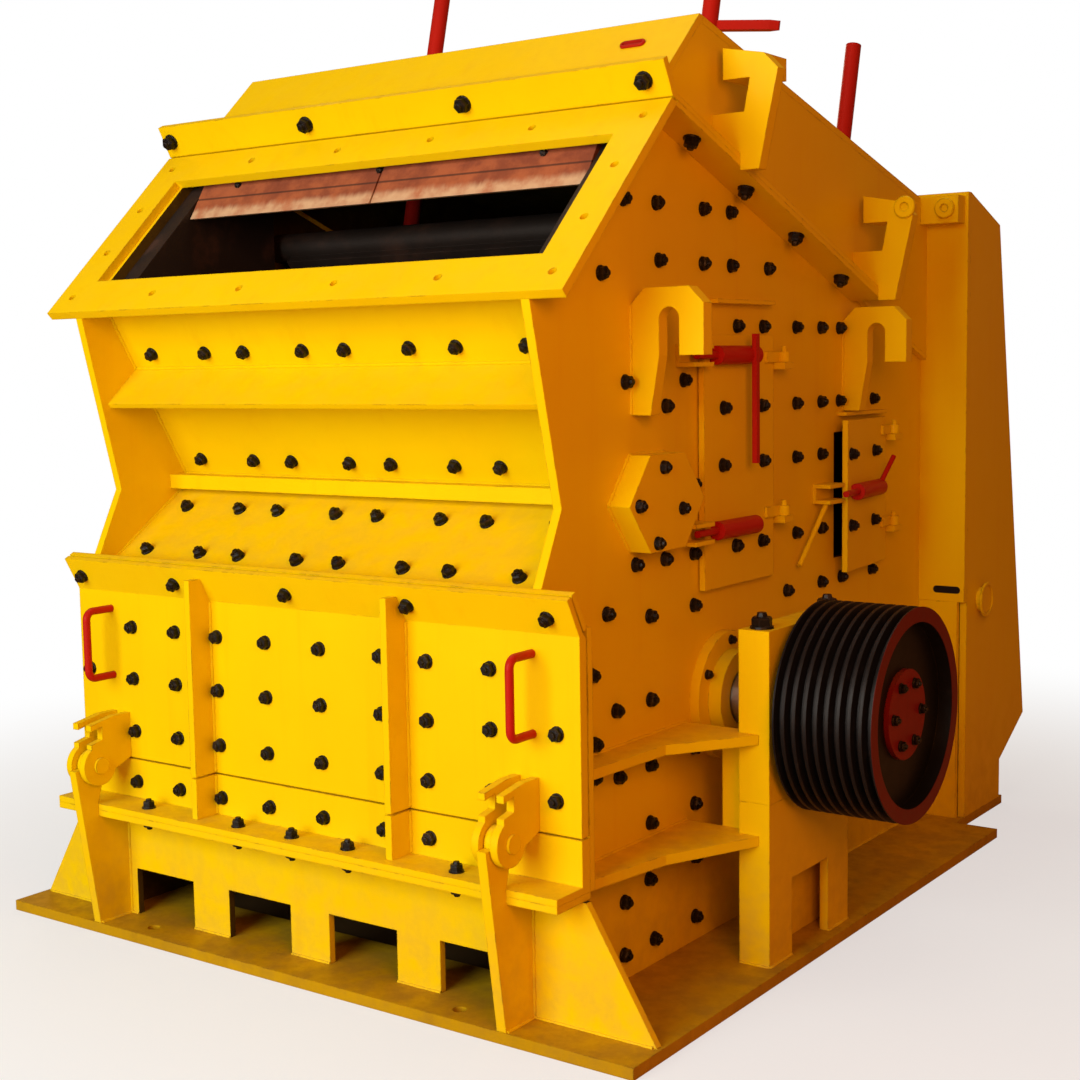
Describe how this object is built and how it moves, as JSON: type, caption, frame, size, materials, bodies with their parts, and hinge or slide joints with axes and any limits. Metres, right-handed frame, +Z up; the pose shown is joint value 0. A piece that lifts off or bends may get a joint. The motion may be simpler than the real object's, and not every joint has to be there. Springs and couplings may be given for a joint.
{
  "type": "impact crusher",
  "caption": "Welded impact crusher with a sloped feed inlet, bottom-hinged front door, side inspection doors and a grooved drive pulley; a spinning rotor breaks fed stone.",
  "frame": {"origin": "middle of the overall box in plan, on the underside of the base plate", "axes": "+X to the pulley side, +Y from the front door to the rear, +Z up"},
  "size_m": [2.49, 3.04, 2.9086],
  "materials": {
    "yellow_paint": "glossy industrial enamel, lightly worn",
    "red_paint": "semi-gloss enamel",
    "black_iron": "black satin coat, worn groove flanks",
    "worn_steel": "dark worn casting",
    "rusty_steel": "brown rust, dusty lower edge",
    "bare_steel": "turned steel"
  },
  "bodies": {
    "housing": {"adjusting_rods": "red_paint", "base_plate": "yellow_paint", "bearing_housings": "yellow_paint", "clamp_brackets": "yellow_paint", "curtain_bar": "worn_steel", "door_jambs": "yellow_paint", "feed_curtain": "rusty_steel", "feed_liners": "worn_steel", "fold_bar": "yellow_paint", "front_apron": "worn_steel", "front_ledge": "yellow_paint", "front_wall": "yellow_paint", "gussets": "yellow_paint", "hatch_hinges": "yellow_paint", "hatches_left": "yellow_paint", "hinge_pins": "yellow_paint", "hinge_posts": "yellow_paint", "inlet_flange": "yellow_paint", "lip_flange": "yellow_paint", "lower_front_wall": "yellow_paint", "pedestals": "yellow_paint", "pivot_covers": "yellow_paint", "rain_rib": "yellow_paint", "rain_strips": "yellow_paint", "rear_apron": "worn_steel", "rear_latches": "yellow_paint", "rear_portal": "yellow_paint", "rear_roof": "yellow_paint", "rear_sides": "yellow_paint", "rear_wall": "yellow_paint", "rear_webs": "yellow_paint", "rod_seats": "yellow_paint", "roof_flange": "yellow_paint", "roof_front": "yellow_paint", "roof_hooks": "yellow_paint", "roof_plate": "yellow_paint", "roof_sides": "yellow_paint", "shaft_seals": "yellow_paint", "side_flanges": "yellow_paint", "side_hooks": "yellow_paint", "side_wall_left": "yellow_paint", "side_wall_right": "yellow_paint", "sill_panel": "yellow_paint"},
    "rotor": {"rotor_body": "worn_steel", "blow_bars": "worn_steel", "shaft": "bare_steel", "pulley": "black_iron", "pulley_hub": "red_paint"},
    "front_door": {"door_panel": "yellow_paint", "door_ribs": "yellow_paint", "door_lugs": "yellow_paint", "door_handles": "red_paint"},
    "front_hatch": {"front_hatch": "yellow_paint", "front_hatch_clamps": "red_paint"},
    "rear_hatch": {"rear_hatch": "yellow_paint", "rear_hatch_clamp": "red_paint"}
  },
  "joints": [
    {"name": "rotor_spin", "type": "hinge", "parent": "housing", "child": "rotor", "pos_m": [-0.135, -0.485, 0.7], "axis": [1, 0, 0], "continuous": true},
    {"name": "front_door_hinge", "type": "hinge", "parent": "housing", "child": "front_door", "pos_m": [-0.135, -1.45, 0.5], "axis": [1, 0, 0], "range_deg": [0, 100]},
    {"name": "front_hatch_hinge", "type": "hinge", "parent": "housing", "child": "front_hatch", "pos_m": [0.705, -0.181, 1.353], "axis": [0, 0, 1], "range_deg": [0, 110]},
    {"name": "rear_hatch_hinge", "type": "hinge", "parent": "housing", "child": "rear_hatch", "pos_m": [0.705, 0.604, 1.205], "axis": [0, 0, 1], "range_deg": [-6, 105]}
  ]
}
